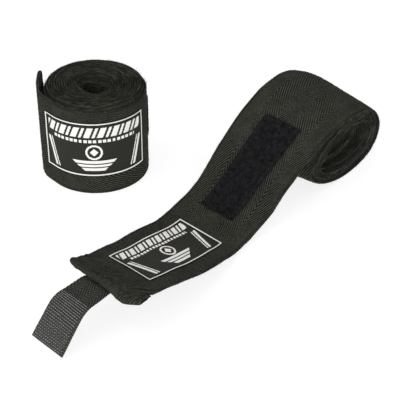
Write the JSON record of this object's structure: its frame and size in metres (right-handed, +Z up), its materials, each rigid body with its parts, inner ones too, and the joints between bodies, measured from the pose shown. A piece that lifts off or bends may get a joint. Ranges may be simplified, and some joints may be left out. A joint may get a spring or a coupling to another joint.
{
  "type": "boxing hand wrap pair",
  "caption": "Pair of woven boxing hand wraps with labels, hook tape tails and loop patches: one rolled up and standing, one partly unrolled and lying.",
  "frame": {"origin": "centre of the pair's footprint, on the table that both wraps rest on", "axes": "+Z up; +X along the lying band from its tail towards its roll; +Y towards the standing rolled wrap"},
  "size_m": [0.227, 0.1416, 0.051],
  "materials": {
    "band_cloth": "charcoal elastic cotton, herringbone twill, matt",
    "label_weave": "damask woven label, black with off-white pattern",
    "thread": "polyester sewing thread, slight sheen",
    "hook_tape": "woven nylon hook tape, slight sheen",
    "loop_fleece": "brushed nylon loop pile, very matt"
  },
  "bodies": {
    "open_roll": {"open_roll_band": "band_cloth", "open_thumb_loop": "band_cloth", "open_thumb_loop_tack": "thread"},
    "open_run": {"open_run_band": "band_cloth", "open_loop_patch": "loop_fleece", "open_patch_thread": "thread"},
    "open_end": {"open_end_band": "band_cloth", "open_label": "label_weave", "open_label_thread": "thread", "open_hem_thread": "thread", "open_tail_root": "hook_tape"},
    "open_tail": {"open_hook_tail": "hook_tape"},
    "rolled_wrap": {"rolled_band": "band_cloth", "rolled_label": "label_weave", "rolled_label_thread": "thread", "rolled_hem_thread": "thread", "rolled_tail_root": "hook_tape", "rolled_loop_patch": "loop_fleece", "rolled_patch_thread": "thread", "rolled_thumb_loop": "band_cloth", "rolled_thumb_loop_tack": "thread"},
    "rolled_tail": {"rolled_hook_tail": "hook_tape"}
  },
  "joints": [
    {"name": "open_run_lift", "type": "hinge", "parent": "open_roll", "child": "open_run", "pos_m": [0.084, -0.0389, 0.036], "axis": [0, 0.9962, 0.0868], "range_deg": [0, 35]},
    {"name": "open_end_fold", "type": "hinge", "parent": "open_run", "child": "open_end", "pos_m": [0.00046, -0.0389, 0.00182], "axis": [0.0905, 0.9948, -0.0461], "range_deg": [0, 70]},
    {"name": "open_tail_fold", "type": "hinge", "parent": "open_end", "child": "open_tail", "pos_m": [-0.07931, -0.04514, 0.01702], "axis": [0.1459, 0.9755, -0.1646], "range_deg": [0, 95]},
    {"name": "rolled_wrap_lift", "type": "slide", "parent": "open_roll", "child": "rolled_wrap", "axis": [0, 0, 1], "range_m": [0, 0.08]},
    {"name": "rolled_tail_peel", "type": "hinge", "parent": "rolled_wrap", "child": "rolled_tail", "pos_m": [-0.00364, 0.06846, 0.025], "axis": [0, 0, 1], "range_deg": [0, 95]}
  ]
}
